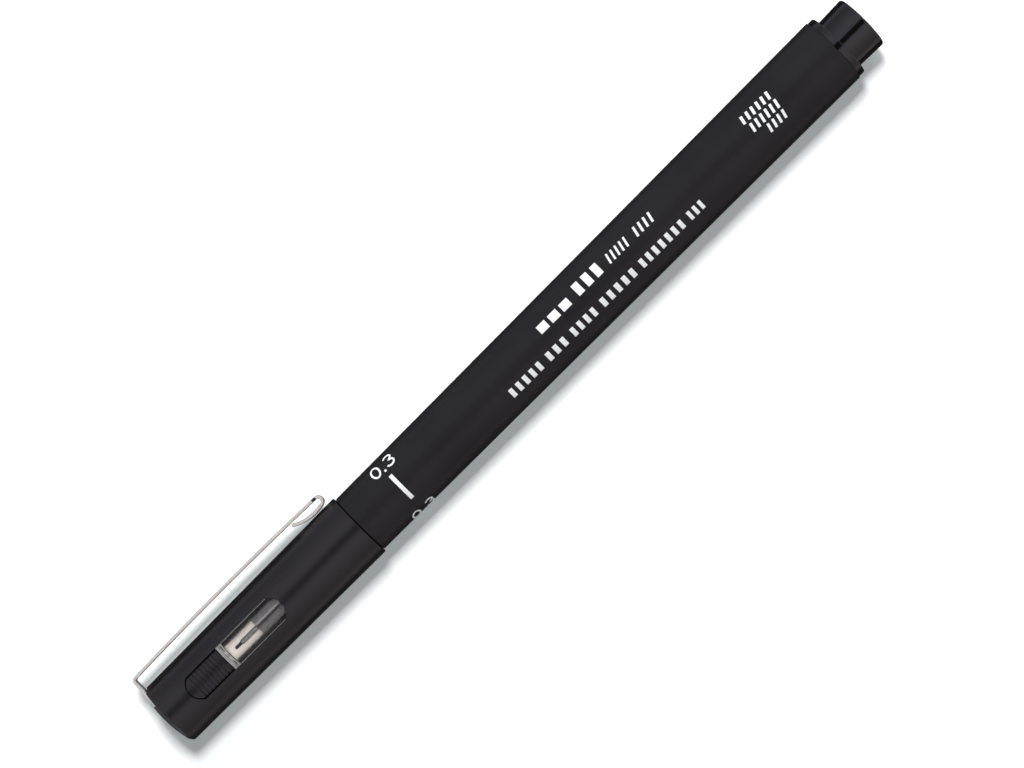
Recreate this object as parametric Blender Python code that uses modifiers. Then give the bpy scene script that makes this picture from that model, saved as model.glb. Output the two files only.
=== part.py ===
"""A capped fineliner pen, lying on a table with its pocket clip level with the table top.

Every piece is drawn upright in the pen's own frame: Z runs along the axis from the tail face (0) to the
crown of the cap, the clip is on the -Y side, and the cap's windows face -X and +X. The empty pen_axis
then lays the pen down, so that the nib points along the world's +X.
"""

import math

import bmesh
import bpy

MM = 0.001

# Driving sizes
PEN_LENGTH = 139.0 * MM
BARREL_TAIL_RADIUS = 5.34 * MM
BARREL_FRONT_RADIUS = 4.88 * MM
CAP_MOUTH_RADIUS = 5.24 * MM
CAP_END_RADIUS = 5.0 * MM
NECK_RADIUS = 4.2 * MM
FIT = 0.05 * MM
SEGMENTS = 48

# Tail plug: a spigot that the cap posts on, a flange, and a skirt pressed into the barrel
SPIGOT_ROOT_RADIUS = 4.18 * MM
SPIGOT_TIP_RADIUS = 4.32 * MM
SPIGOT_CORNER = 0.3 * MM
FLANGE_RADIUS = 5.19 * MM
FLANGE_BOTTOM = 4.75 * MM
FLANGE_CORNER = 0.22 * MM
PLUG_SKIRT_RADIUS = 4.4 * MM
PLUG_SKIRT_TOP = 11.9 * MM
PLUG_WALL = 0.9 * MM
PLUG_FLOOR = 1.2 * MM
FIN_THICKNESS = 0.8 * MM
FIN_TOP = 14.2 * MM

# Barrel
BARREL_TAIL = 5.85 * MM
BARREL_SHOULDER = 100.1 * MM
NECK_TOP = 107.2 * MM
EDGE = 0.12 * MM
SNAP_BEAD_RADIUS = 4.27 * MM
SNAP_BEAD_CENTRE = 104.4 * MM
SNAP_BEAD_HALF = 0.5 * MM
BARREL_BORE_TAIL = 4.3 * MM
BARREL_BORE_FRONT = 3.95 * MM
BORE_END = 98.6 * MM
NECK_BORE = 3.45 * MM

# Front section, with the nib unit in its nose
SECTION_BACK = 98.0 * MM
COLLAR_RADIUS = 3.95 * MM
COLLAR_TOP = 108.8 * MM
NOSE_BASE_RADIUS = 2.95 * MM
NOSE_BASE = 110.2 * MM
NOSE_TIP_RADIUS = 2.05 * MM
NOSE_TIP = 114.8 * MM
SLEEVE_SEAT = 109.0 * MM
SLEEVE_RADIUS = 1.31 * MM
SLEEVE_WALL = 0.2 * MM
SLEEVE_TOP = 120.5 * MM
TUBE_RADIUS = 0.4 * MM
TUBE_BORE = 0.28 * MM
TUBE_BACK = 118.6 * MM
TUBE_TOP = 123.65 * MM
NIB_RADIUS = 0.24 * MM
NIB_BACK = 112.4 * MM
NIB_TIP = 124.85 * MM
NIB_DOME = 0.22 * MM

# Ink store
WICK_RADIUS = 1.05 * MM
WICK_BACK = 92.0 * MM
WICK_TOP = 118.5 * MM
RESERVOIR_RADIUS = 3.6 * MM
RESERVOIR_BACK = 14.4 * MM
RESERVOIR_TOP = 97.6 * MM
WRAP_WALL = 0.14 * MM

# Cap: shell, core with ribbed pads, clear liner
CAP_MOUTH = 100.25 * MM
CAP_BORE_MOUTH = 4.36 * MM
CAP_BORE_END = 4.3 * MM
CAP_RIM = 138.45 * MM
CAP_CORNER = 138.0 * MM
MOUTH_CHAMFER = 0.12 * MM
WINDOW_LOW = 115.52 * MM
WINDOW_HIGH = 133.65 * MM
WINDOW_HALF_WIDTH = 2.05 * MM
WINDOW_END_RADIUS = 2.3 * MM
CORE_RADIUS = 4.24 * MM
CORE_HOLLOW_RADIUS = 3.0 * MM
CORE_HOLLOW_TOP = 135.4 * MM
CORE_BACK = 126.75 * MM
CROWN_RIM = 138.5 * MM
SHELF = 138.2 * MM
SHELF_EDGE = 2.27 * MM
PAD_RADIUS = 4.84 * MM
PAD_GAP = 0.12 * MM
RIB_PITCH = 0.64 * MM
RIB_DEPTH = 0.14 * MM
RIB_COUNT = 9
LINER_RADIUS = 4.22 * MM
LINER_TOP = 126.65 * MM
LINER_BORE = 1.36 * MM
LINER_BORE_TOP = 125.9 * MM
LINER_STEP = 115.1 * MM
LINER_BACK = 109.4 * MM
LINER_MOUTH_RADIUS = 3.5 * MM
LINER_GROOVE = 0.18 * MM

# Pocket clip: one bent strip, split where it flexes into a fixed root and a moving arm
STRIP_WIDTH = 3.3 * MM
STRIP_THICKNESS = 0.45 * MM
TONGUE_DISTANCE = 3.66 * MM
TONGUE_BACK = 130.6 * MM
ARM_HEIGHT = 138.22 * MM
ROOT_BEND = 0.36 * MM
ARM_START = 4.16 * MM
CLIP_PIVOT = (4.09 * MM, ARM_HEIGHT)
ARM_BEND = 0.52 * MM
RUN_DISTANCE = 7.05 * MM
RUN_BOW = 0.26 * MM
RUN_END = 102.05 * MM
CURL_DISTANCE = 5.6 * MM
CURL_CONTACT = 103.5 * MM
CURL_START = 102.05 * MM
CURL_RADIUS = 6.6 * MM
CURL_END = 107.0 * MM
NOTCH_HALF_WIDTH = 1.85 * MM
NOTCH_FLOOR = 3.7 * MM
NOTCH_LOW = 137.65 * MM


def arc(centre_r, centre_z, radius, start, end, steps):
    """Points (r, z) along an arc, its angles in degrees from the +r direction towards +z."""
    angles = [math.radians(start + (end - start) * i / steps) for i in range(steps + 1)]
    return [(centre_r + radius * math.cos(a), centre_z + radius * math.sin(a)) for a in angles]


def material(name, colour, roughness, metallic=0.0, transmission=0.0):
    made = bpy.data.materials.new(name)
    made.use_nodes = True
    shader = made.node_tree.nodes["Principled BSDF"]
    shader.inputs["Base Color"].default_value = (*colour, 1.0)
    shader.inputs["Roughness"].default_value = roughness
    shader.inputs["Metallic"].default_value = metallic
    shader.inputs["Transmission Weight"].default_value = transmission
    made.diffuse_color = (*colour, 1.0 - 0.6 * transmission)
    return made


def collection(name):
    made = bpy.data.collections.new(name)
    bpy.context.scene.collection.children.link(made)
    return made


def add_object(name, mesh, home):
    made = bpy.data.objects.new(name, mesh)
    home.objects.link(made)
    return made


def add_modifier(obj, kind, **settings):
    modifier = obj.modifiers.new(kind.title(), kind)
    for key, value in settings.items():
        setattr(modifier, key, value)
    return modifier


def apply_modifiers(obj):
    """Replaces the mesh by the evaluated one, smooth but for its true edges."""
    graph = bpy.context.evaluated_depsgraph_get()
    mesh = bpy.data.meshes.new_from_object(obj.evaluated_get(graph))
    mesh.name = obj.name
    obj.modifiers.clear()
    obj.data = mesh
    mesh.shade_smooth()
    mesh.set_sharp_from_angle(angle=math.radians(28))


def turned(name, profile, home, closed=True):
    """A profile of (radius, height) points turned about Z. It runs down the outer side. An open profile
    starts and ends on the axis, and a closed one is a ring with a hole through it."""
    mesh = bpy.data.meshes.new(name)
    count = len(profile)
    edges = [(i, i + 1) for i in range(count - 1)]
    if closed:
        edges.append((count - 1, 0))
    mesh.from_pydata([(r, 0.0, z) for r, z in profile], edges, [])
    made = add_object(name, mesh, home)
    add_modifier(
        made,
        "SCREW",
        axis="Z",
        steps=SEGMENTS,
        render_steps=SEGMENTS,
        use_merge_vertices=True,
        merge_threshold=1e-6,
    )
    apply_modifiers(made)
    return made


def box(name, low, high, home):
    """A box between two corners."""
    mesh = bpy.data.meshes.new(name)
    shape = bmesh.new()
    bmesh.ops.create_cube(shape, size=1.0)
    for vert in shape.verts:
        vert.co = [lo + (c + 0.5) * (hi - lo) for c, lo, hi in zip(vert.co, low, high)]
    shape.to_mesh(mesh)
    shape.free()
    return add_object(name, mesh, home)


def slab(name, outline, half_thickness, home):
    """A flat outline of (y, z) points, thickened both ways along X."""
    mesh = bpy.data.meshes.new(name)
    shape = bmesh.new()
    face = shape.faces.new([shape.verts.new((-half_thickness, y, z)) for y, z in outline])
    pushed = bmesh.ops.extrude_face_region(shape, geom=[face])["geom"]
    far = [v for v in pushed if isinstance(v, bmesh.types.BMVert)]
    bmesh.ops.translate(shape, verts=far, vec=(2 * half_thickness, 0.0, 0.0))
    bmesh.ops.recalc_face_normals(shape, faces=shape.faces)
    shape.to_mesh(mesh)
    shape.free()
    return add_object(name, mesh, home)


def combine(obj, operation, other):
    """Cuts other from obj, joins it on, or keeps what they share. The other shape is used up."""
    add_modifier(obj, "BOOLEAN", operation=operation, solver="EXACT", object=other)
    apply_modifiers(obj)
    bpy.data.objects.remove(other)


def strip(name, path, home):
    """A flat spring strip that follows a path of (distance, z) points on the clip's side."""
    mesh = bpy.data.meshes.new(name)
    shape = bmesh.new()
    half = STRIP_WIDTH / 2
    rows = [[shape.verts.new((x, -d, z)) for x in (-half, half)] for d, z in path]
    for first, second in zip(rows, rows[1:]):
        shape.faces.new((first[0], first[1], second[1], second[0]))
    bmesh.ops.recalc_face_normals(shape, faces=shape.faces)
    shape.to_mesh(mesh)
    shape.free()
    made = add_object(name, mesh, home)
    add_modifier(made, "SOLIDIFY", thickness=STRIP_THICKNESS, offset=0.0, use_even_offset=True)
    apply_modifiers(made)
    return made


def set_origin(obj, point):
    """Moves the object's origin, leaving its shape where it is."""
    for vert in obj.data.vertices:
        vert.co = [c - p for c, p in zip(vert.co, point)]
    obj.location = point


def window_outline(inset=0.0):
    """The cap window as (y, z) points: straight sides, and ends that are arcs of a slightly larger circle."""
    half = WINDOW_HALF_WIDTH - inset
    radius = WINDOW_END_RADIUS - inset
    sweep = math.degrees(math.asin(half / radius))
    high = arc(0.0, WINDOW_HIGH - WINDOW_END_RADIUS, radius, 90 - sweep, 90 + sweep, 12)
    low = arc(0.0, WINDOW_LOW + WINDOW_END_RADIUS, radius, 270 - sweep, 270 + sweep, 12)
    return high + low


def barrel(home):
    """The outer tube, tapering towards the neck, with the snap bead that holds the cap."""
    bead_low = SNAP_BEAD_CENTRE - SNAP_BEAD_HALF
    bead_high = SNAP_BEAD_CENTRE + SNAP_BEAD_HALF
    profile = [
        (NECK_RADIUS - EDGE, NECK_TOP),
        (NECK_RADIUS, NECK_TOP - EDGE),
        (NECK_RADIUS, bead_high),
        (SNAP_BEAD_RADIUS, SNAP_BEAD_CENTRE),
        (NECK_RADIUS, bead_low),
        (NECK_RADIUS, BARREL_SHOULDER),
        (BARREL_FRONT_RADIUS - EDGE, BARREL_SHOULDER),
        (BARREL_FRONT_RADIUS, BARREL_SHOULDER - EDGE),
        (BARREL_TAIL_RADIUS, BARREL_TAIL + EDGE),
        (BARREL_TAIL_RADIUS - EDGE, BARREL_TAIL),
        (PLUG_SKIRT_RADIUS + FIT, BARREL_TAIL),
        (PLUG_SKIRT_RADIUS + FIT, PLUG_SKIRT_TOP + FIT),
        (BARREL_BORE_TAIL, PLUG_SKIRT_TOP + 4 * FIT),
        (BARREL_BORE_FRONT, BORE_END - 2 * FIT),
        (NECK_BORE, BORE_END),
        (NECK_BORE, NECK_TOP),
    ]
    return turned("barrel", profile, home)


def end_plug(home, cutters):
    """The tail plug. Crossed fins in its skirt hold the ink reservoir forward."""
    inner = PLUG_SKIRT_RADIUS - PLUG_WALL
    flange_top = BARREL_TAIL - 2 * FIT
    spigot_corner = arc(
        SPIGOT_TIP_RADIUS - SPIGOT_CORNER, SPIGOT_CORNER, SPIGOT_CORNER, 0, -90, 4
    )
    flange_corner = arc(
        FLANGE_RADIUS - FLANGE_CORNER, FLANGE_BOTTOM + FLANGE_CORNER, FLANGE_CORNER, 0, -90, 3
    )
    profile = [
        (0.0, PLUG_FLOOR),
        (inner, PLUG_FLOOR),
        (inner, PLUG_SKIRT_TOP),
        (PLUG_SKIRT_RADIUS - 2 * FIT, PLUG_SKIRT_TOP),
        (PLUG_SKIRT_RADIUS, PLUG_SKIRT_TOP - 8 * FIT),
        (PLUG_SKIRT_RADIUS, flange_top),
        (FLANGE_RADIUS, flange_top),
        *flange_corner,
        (SPIGOT_ROOT_RADIUS, FLANGE_BOTTOM),
        *spigot_corner,
        (0.0, 0.0),
    ]
    plug = turned("end_plug", profile, home, closed=False)
    reach = inner + PLUG_WALL / 2
    for long_side in (0, 1):
        half = [FIN_THICKNESS / 2, FIN_THICKNESS / 2]
        half[long_side] = reach
        fin = box(
            "fin",
            (-half[0], -half[1], PLUG_FLOOR - PLUG_WALL / 2),
            (half[0], half[1], PLUG_SKIRT_TOP - PLUG_WALL),
            cutters,
        )
        combine(plug, "UNION", fin)
    stop = box(
        "fin_stop",
        (-FIN_THICKNESS / 2, -inner / 2, PLUG_FLOOR + PLUG_WALL),
        (FIN_THICKNESS / 2, inner / 2, FIN_TOP),
        cutters,
    )
    combine(plug, "UNION", stop)
    return plug


def front_section(home):
    """The moulded nose: a spigot pressed into the neck, a collar, and a cone that holds the nib unit."""
    profile = [
        (SLEEVE_RADIUS + FIT, NOSE_TIP),
        (NOSE_TIP_RADIUS - EDGE, NOSE_TIP),
        (NOSE_TIP_RADIUS, NOSE_TIP - EDGE),
        (NOSE_BASE_RADIUS, NOSE_BASE),
        (NOSE_BASE_RADIUS + EDGE, COLLAR_TOP + 4 * EDGE),
        (COLLAR_RADIUS - 3 * EDGE, COLLAR_TOP),
        (COLLAR_RADIUS, COLLAR_TOP - 2 * EDGE),
        (COLLAR_RADIUS, NECK_TOP + FIT),
        (NECK_BORE - FIT, NECK_TOP + FIT),
        (NECK_BORE - FIT, SECTION_BACK + 2 * EDGE),
        (NECK_BORE - FIT - 2 * EDGE, SECTION_BACK),
        (WICK_RADIUS + FIT, SECTION_BACK),
        (WICK_RADIUS + FIT, SLEEVE_SEAT),
        (SLEEVE_RADIUS + FIT, SLEEVE_SEAT),
    ]
    return turned("front_section", profile, home)


def tip_sleeve(home):
    """The drawn steel sleeve, closed at the front but for the nib tube's hole."""
    inner = SLEEVE_RADIUS - SLEEVE_WALL
    hole = TUBE_RADIUS + FIT
    profile = [
        (hole, SLEEVE_TOP),
        *arc(SLEEVE_RADIUS - EDGE, SLEEVE_TOP - EDGE, EDGE, 90, 0, 3),
        (SLEEVE_RADIUS, SLEEVE_SEAT + FIT),
        (inner, SLEEVE_SEAT + FIT),
        (inner, SLEEVE_TOP - SLEEVE_WALL),
        (hole, SLEEVE_TOP - SLEEVE_WALL),
    ]
    return turned("tip_sleeve", profile, home)


def nib_tube(home):
    """The fine steel tube round the nib, crimped in slightly at its mouth."""
    profile = [
        (TUBE_BORE, TUBE_TOP),
        (TUBE_RADIUS - EDGE / 2, TUBE_TOP),
        (TUBE_RADIUS, TUBE_TOP - 2 * EDGE),
        (TUBE_RADIUS, TUBE_BACK),
        (TUBE_BORE, TUBE_BACK),
    ]
    return turned("nib_tube", profile, home)


def nib(home):
    """The plastic writing core, with a domed tip."""
    dome = arc(0.0, NIB_TIP - NIB_DOME, NIB_DOME, 90, 0, 4)
    profile = [*dome, (NIB_RADIUS, NIB_TIP - 2 * NIB_DOME), (NIB_RADIUS, NIB_BACK), (0.0, NIB_BACK)]
    profile[0] = (0.0, NIB_TIP)
    return turned("nib", profile, home, closed=False)


def relay_wick(home):
    """The fibre rod that carries ink from the reservoir to the back of the nib."""
    socket = NIB_RADIUS + FIT
    profile = [
        (0.0, NIB_BACK - FIT),
        (socket, NIB_BACK - FIT),
        (socket, WICK_TOP),
        (WICK_RADIUS, WICK_TOP),
        (WICK_RADIUS, WICK_BACK),
        (0.0, WICK_BACK),
    ]
    return turned("relay_wick", profile, home, closed=False)


def reservoir_core(home):
    """The fibre bundle that holds the ink, with a socket for the wick."""
    socket = WICK_RADIUS + FIT
    profile = [
        (0.0, WICK_BACK - FIT),
        (socket, WICK_BACK - FIT),
        (socket, RESERVOIR_TOP),
        (RESERVOIR_RADIUS, RESERVOIR_TOP),
        (RESERVOIR_RADIUS, RESERVOIR_BACK),
        (0.0, RESERVOIR_BACK),
    ]
    return turned("reservoir_core", profile, home, closed=False)


def reservoir_wrap(home):
    """The film sleeve round the fibre bundle."""
    inner = RESERVOIR_RADIUS + FIT
    outer = inner + WRAP_WALL
    profile = [
        (inner, RESERVOIR_TOP),
        (outer, RESERVOIR_TOP),
        (outer, RESERVOIR_BACK),
        (inner, RESERVOIR_BACK),
    ]
    return turned("reservoir_wrap", profile, home)


def shelf_cutter(home):
    """The space above the low step on the clip's side of the cap's closed end."""
    far = 2 * CAP_END_RADIUS
    return box("shelf_cutter", (-far, -far, SHELF), (far, -SHELF_EDGE, 2 * PEN_LENGTH), home)


def cap_shell(home, cutters):
    """The cap's outer tube, open at both ends, with two opposite windows and a notch for the clip."""
    profile = [
        (CAP_BORE_END, CAP_RIM),
        (CAP_BORE_END + EDGE, CAP_RIM),
        (CAP_END_RADIUS, CAP_CORNER),
        (CAP_MOUTH_RADIUS, CAP_MOUTH + MOUTH_CHAMFER),
        (CAP_MOUTH_RADIUS - MOUTH_CHAMFER, CAP_MOUTH),
        (CAP_BORE_MOUTH + MOUTH_CHAMFER, CAP_MOUTH),
        (CAP_BORE_MOUTH, CAP_MOUTH + 2 * MOUTH_CHAMFER),
        (CAP_BORE_MOUTH, NECK_TOP),
    ]
    shell = turned("cap_shell", profile, home)
    combine(shell, "DIFFERENCE", slab("window_cutter", window_outline(), 2 * CAP_MOUTH_RADIUS, cutters))
    notch = box(
        "notch_cutter",
        (-NOTCH_HALF_WIDTH, -2 * CAP_END_RADIUS, NOTCH_LOW),
        (NOTCH_HALF_WIDTH, -NOTCH_FLOOR, PEN_LENGTH),
        cutters,
    )
    combine(shell, "DIFFERENCE", notch)
    combine(shell, "DIFFERENCE", shelf_cutter(cutters))
    return shell


def ribbed_pads(home, cutters):
    """Two ribbed pads, one in each window, as one bar right through the core."""
    profile = [(0.0, WINDOW_HIGH), (PAD_RADIUS, WINDOW_HIGH)]
    for index in reversed(range(RIB_COUNT)):
        groove = CORE_BACK + RIB_PITCH * (index + 0.5)
        profile += [
            (PAD_RADIUS, groove + RIB_PITCH / 4),
            (PAD_RADIUS - RIB_DEPTH, groove),
            (PAD_RADIUS, groove - RIB_PITCH / 4),
        ]
    profile += [(PAD_RADIUS, CORE_BACK), (0.0, CORE_BACK)]
    pads = turned("pads", profile, home, closed=False)
    combine(pads, "INTERSECT", slab("pad_outline", window_outline(PAD_GAP), 2 * PAD_RADIUS, cutters))
    return pads


def cap_core(home, cutters):
    """The plug in the cap's closed end: a domed crown with a shelf beside the clip, and the ribbed pads."""
    crown_height = PEN_LENGTH - CROWN_RIM
    crown_radius = (CORE_RADIUS**2 + crown_height**2) / (2 * crown_height)
    half_angle = math.degrees(math.asin(CORE_RADIUS / crown_radius))
    crown = arc(0.0, PEN_LENGTH - crown_radius, crown_radius, 90, 90 - half_angle, 6)
    crown[0] = (0.0, PEN_LENGTH)
    profile = [*crown, (CORE_RADIUS, CORE_BACK), (0.0, CORE_BACK)]
    core = turned("cap_core", profile, home, closed=False)
    combine(core, "UNION", ribbed_pads(cutters, cutters))
    hollow = turned(
        "hollow_cutter",
        [
            (0.0, CORE_HOLLOW_TOP),
            (CORE_HOLLOW_RADIUS, CORE_HOLLOW_TOP),
            (CORE_HOLLOW_RADIUS, CORE_BACK - PAD_GAP),
            (0.0, CORE_BACK - PAD_GAP),
        ],
        cutters,
        closed=False,
    )
    combine(core, "DIFFERENCE", hollow)
    combine(core, "DIFFERENCE", shelf_cutter(cutters))
    tongue_face = TONGUE_DISTANCE - STRIP_THICKNESS / 2 - FIT
    pocket = box(
        "tongue_cutter",
        (-NOTCH_HALF_WIDTH, -2 * CORE_RADIUS, TONGUE_BACK - PAD_GAP),
        (NOTCH_HALF_WIDTH, -tongue_face, 2 * PEN_LENGTH),
        cutters,
    )
    combine(core, "DIFFERENCE", pocket)
    return core


def cap_liner(home):
    """The clear inner cap that seals round the nib sleeve. Its mouth clears the front section."""
    groove_top = LINER_TOP - 2 * LINER_GROOVE
    profile = [
        (0.0, LINER_TOP),
        (LINER_RADIUS, LINER_TOP),
        (LINER_RADIUS, groove_top),
        (LINER_RADIUS - LINER_GROOVE, groove_top - LINER_GROOVE / 2),
        (LINER_RADIUS, groove_top - LINER_GROOVE),
        (LINER_RADIUS, LINER_BACK + EDGE),
        (LINER_RADIUS - EDGE, LINER_BACK),
        (LINER_MOUTH_RADIUS, LINER_BACK),
        (NOSE_BASE_RADIUS + 2 * EDGE, NOSE_BASE),
        (NOSE_TIP_RADIUS + EDGE, LINER_STEP),
        (LINER_BORE + EDGE, LINER_STEP),
        (LINER_BORE, LINER_STEP + EDGE),
        (LINER_BORE, LINER_BORE_TOP),
        (0.0, LINER_BORE_TOP),
    ]
    return turned("cap_liner", profile, home, closed=False)


def clip_root(home):
    """The clip's fixed end: a tongue inside the cap, and the bend that brings it out of the notch."""
    bend = arc(TONGUE_DISTANCE + ROOT_BEND, ARM_HEIGHT - ROOT_BEND, ROOT_BEND, 180, 90, 4)
    return strip("clip_root", [(TONGUE_DISTANCE, TONGUE_BACK), *bend], home)


def clip_path():
    """The moving arm's centre line: out from the cap, along it with a slight bow, and round the curled end."""
    bend = arc(RUN_DISTANCE - ARM_BEND, ARM_HEIGHT - ARM_BEND, ARM_BEND, 90, 0, 5)
    run_start = ARM_HEIGHT - ARM_BEND
    run = []
    for step in range(1, 10):
        share = step / 10
        bow = 4 * RUN_BOW * share * (1 - share)
        run.append((RUN_DISTANCE + bow, run_start + (RUN_END - run_start) * share))
    sweep_back = math.degrees(math.asin((CURL_CONTACT - CURL_START) / CURL_RADIUS))
    sweep_up = math.degrees(math.asin((CURL_END - CURL_CONTACT) / CURL_RADIUS))
    tail = arc(
        CURL_DISTANCE + CURL_RADIUS, CURL_CONTACT, CURL_RADIUS, 180 + sweep_back, 180 - sweep_up, 7
    )
    inner = tail[0][0]
    roll_radius = (RUN_DISTANCE - inner) / 2
    roll = arc(inner + roll_radius, RUN_END, roll_radius, 0, -160, 8)
    return [(ARM_START, ARM_HEIGHT), *bend, *run, *roll, *tail[1:]]


def clip_arm(home):
    made = strip("clip_arm", clip_path(), home)
    set_origin(made, (0.0, -CLIP_PIVOT[0], CLIP_PIVOT[1]))
    return made


def main():
    for obj in list(bpy.data.objects):
        bpy.data.objects.remove(obj)
    home = collection("fineliner_pen")
    cutters = collection("cutters")

    black = material("black_plastic", (0.03, 0.029, 0.033), 0.5)
    gloss = material("gloss_black_plastic", (0.028, 0.028, 0.031), 0.25)
    clear = material("clear_plastic", (0.95, 0.93, 0.9), 0.08, transmission=1.0)
    steel = material("stainless_steel", (0.62, 0.6, 0.57), 0.28, metallic=1.0)
    fibre = material("white_fibre", (0.8, 0.79, 0.76), 0.9)
    film = material("film", (0.85, 0.86, 0.88), 0.3, transmission=0.6)
    felt = material("inked_plastic", (0.05, 0.05, 0.055), 0.6)

    pieces = {
        barrel(home): black,
        end_plug(home, cutters): gloss,
        front_section(home): black,
        tip_sleeve(home): steel,
        nib_tube(home): steel,
        nib(home): felt,
        relay_wick(home): fibre,
        reservoir_core(home): fibre,
        reservoir_wrap(home): film,
        cap_shell(home, cutters): black,
        cap_core(home, cutters): black,
        cap_liner(home): clear,
        clip_root(home): steel,
        clip_arm(home): steel,
    }

    axis = bpy.data.objects.new("pen_axis", None)
    home.objects.link(axis)
    clip_reach = RUN_DISTANCE + RUN_BOW + STRIP_THICKNESS / 2
    axis.location = (-PEN_LENGTH / 2, (clip_reach - BARREL_TAIL_RADIUS) / 2, BARREL_TAIL_RADIUS)
    axis.rotation_euler = (0.0, math.pi / 2, 0.0)
    for piece, finish in pieces.items():
        piece.data.materials.clear()
        piece.data.materials.append(finish)
        piece.parent = axis


main()
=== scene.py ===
"""Looks of a capped fineliner pen: satin black barrel and cap, steel clip, and a clear liner behind windows.

Pieces are modelled upright in the pen's own frame, in millimetres: Z runs along the axis from the tail face
to the crown of the cap, the clip is on the -Y side, and the windows face -X (up, on the table) and +X.
finish_piece() then lays each one down where the CAD model has it.
"""

import math

import bmesh
import bpy
from mathutils import Matrix, Vector


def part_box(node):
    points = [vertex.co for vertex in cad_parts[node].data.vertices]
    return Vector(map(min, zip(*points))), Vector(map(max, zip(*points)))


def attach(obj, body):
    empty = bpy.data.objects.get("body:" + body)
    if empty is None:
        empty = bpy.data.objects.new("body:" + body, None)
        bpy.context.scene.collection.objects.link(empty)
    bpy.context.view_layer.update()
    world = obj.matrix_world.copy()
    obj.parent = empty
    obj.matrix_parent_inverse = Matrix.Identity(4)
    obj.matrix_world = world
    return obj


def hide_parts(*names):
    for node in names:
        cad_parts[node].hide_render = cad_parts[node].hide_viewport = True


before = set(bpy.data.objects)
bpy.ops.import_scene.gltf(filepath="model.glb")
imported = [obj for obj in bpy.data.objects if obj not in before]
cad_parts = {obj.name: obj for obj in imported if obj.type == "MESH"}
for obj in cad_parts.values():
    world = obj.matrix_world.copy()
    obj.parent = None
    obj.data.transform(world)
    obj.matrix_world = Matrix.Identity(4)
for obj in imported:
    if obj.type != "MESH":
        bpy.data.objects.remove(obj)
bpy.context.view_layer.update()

MM = 0.001
SIDES = 160
FILLET_STEPS = 5
CLEARANCE = 0.05

# The pen's frame, read from the CAD model
tail_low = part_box("end_plug")[0]
barrel_low, barrel_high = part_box("barrel")
AXIS_Y = (barrel_low.y + barrel_high.y) / 2
AXIS_Z = (barrel_low.z + barrel_high.z) / 2
LAY_DOWN = Matrix.Translation((tail_low.x, AXIS_Y, AXIS_Z)) @ Matrix.Rotation(math.pi / 2, 4, "Y")


def station(x):
    """The distance from the tail face, in millimetres, of a place along the CAD model's X."""
    return (x - tail_low.x) / MM


def reach(node):
    """A round node's radius, in millimetres."""
    low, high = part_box(node)
    return (high.z - low.z) / 2 / MM


PEN_END = station(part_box("cap_core")[1].x)

# Barrel and tail
BARREL_TAIL = station(barrel_low.x)
BARREL_SHOULDER = 100.1
NECK_TOP = station(barrel_high.x)
TAIL_RADIUS = reach("barrel")
FRONT_RADIUS = 4.88
NECK_RADIUS = 4.2
SNAP_BEAD = 104.4
PLUG_RADIUS = 4.4
FLANGE_RADIUS = reach("end_plug")
FLANGE_BOTTOM = 4.75
SPIGOT_ROOT = 4.18
SPIGOT_TIP = 4.32

# Cap
CAP_MOUTH = station(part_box("cap_shell")[0].x)
MOUTH_RADIUS = reach("cap_shell")
CAP_CORNER = 138.0
CAP_RIM = station(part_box("cap_shell")[1].x)
END_RADIUS = 5.0
BORE_MOUTH = 4.36
BORE_END = 4.3
WINDOW_LOW = 115.52
WINDOW_HIGH = 133.65
WINDOW_HALF = 2.05
WINDOW_ROUND = 2.3
WINDOW_LIP = 0.05
CORE_RADIUS = 4.24
CORE_BACK = station(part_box("cap_core")[0].x)
CROWN_RIM = 138.5
SHELF = 138.2
SHELF_EDGE = 2.27
PAD_RADIUS = 4.84
PAD_GAP = 0.12
PAD_LIP = 0.12
RIB_PITCH = 0.64
RIB_DEPTH = 0.14
RIB_COUNT = 9
POCKET_HALF = 1.85

# Liner and nib unit
LINER_RADIUS = reach("cap_liner")
LINER_BACK = station(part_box("cap_liner")[0].x)
LINER_TOP = station(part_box("cap_liner")[1].x)
LINER_BORE = 1.36
LINER_BORE_TOP = LINER_TOP - 0.75
LINER_STEP = 115.1
SLEEVE_RADIUS = reach("tip_sleeve")
SLEEVE_TOP = station(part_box("tip_sleeve")[1].x)
SLEEVE_SEAT = 109.05
TUBE_RADIUS = reach("nib_tube")
TUBE_BORE = 0.28
TUBE_TOP = station(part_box("nib_tube")[1].x)
TUBE_BACK = station(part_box("nib_tube")[0].x)
NIB_RADIUS = reach("nib")
NIB_BACK = station(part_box("nib")[0].x)
NIB_TIP = station(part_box("nib")[1].x)

# Clip strip
STRIP_WIDTH = 3.3
STRIP_THICKNESS = 0.45
STRIP_EDGE = 0.18
TONGUE_DISTANCE = 3.66
TONGUE_BACK = 130.6
ARM_HEIGHT = 138.22
ROOT_BEND = 0.36
ROOT_END = 4.09
ARM_START = 4.11
ARM_BEND = 0.52
RUN_DISTANCE = 7.05
RUN_BOW = 0.26
RUN_END = 102.05
CURL_DISTANCE = 5.6
CURL_CONTACT = 103.5
CURL_START = 102.05
CURL_RADIUS = 6.6
CURL_END = 107.0
NOTCH_RADIUS = 0.33
NOTCH_AT = RUN_END + 0.2

# Print
PRINT_HEIGHT = 0.012
INK_THICKNESS = 0.006
MARKS_AT = 92.12
MARK_SPACING = 118
FIRST_NUMBER = -46
FIRST_BAR = 5
BAR_HALF_ANGLE = 27

# Looks, in metres where they are lengths
# Where and how dark the tip sleeve's painted reflection line is, painted along its top
PAINTED_REFLECTION_OFFSET = 0.0001
PAINTED_REFLECTION_COLOUR = (0.04, 0.043, 0.05, 1)
CLEARNESS = 0.985
MILKINESS = 0.8
HAZE = 0.03
WORLD_DARK = 0.04


# ---------------------------------------------------------------- materials


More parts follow.
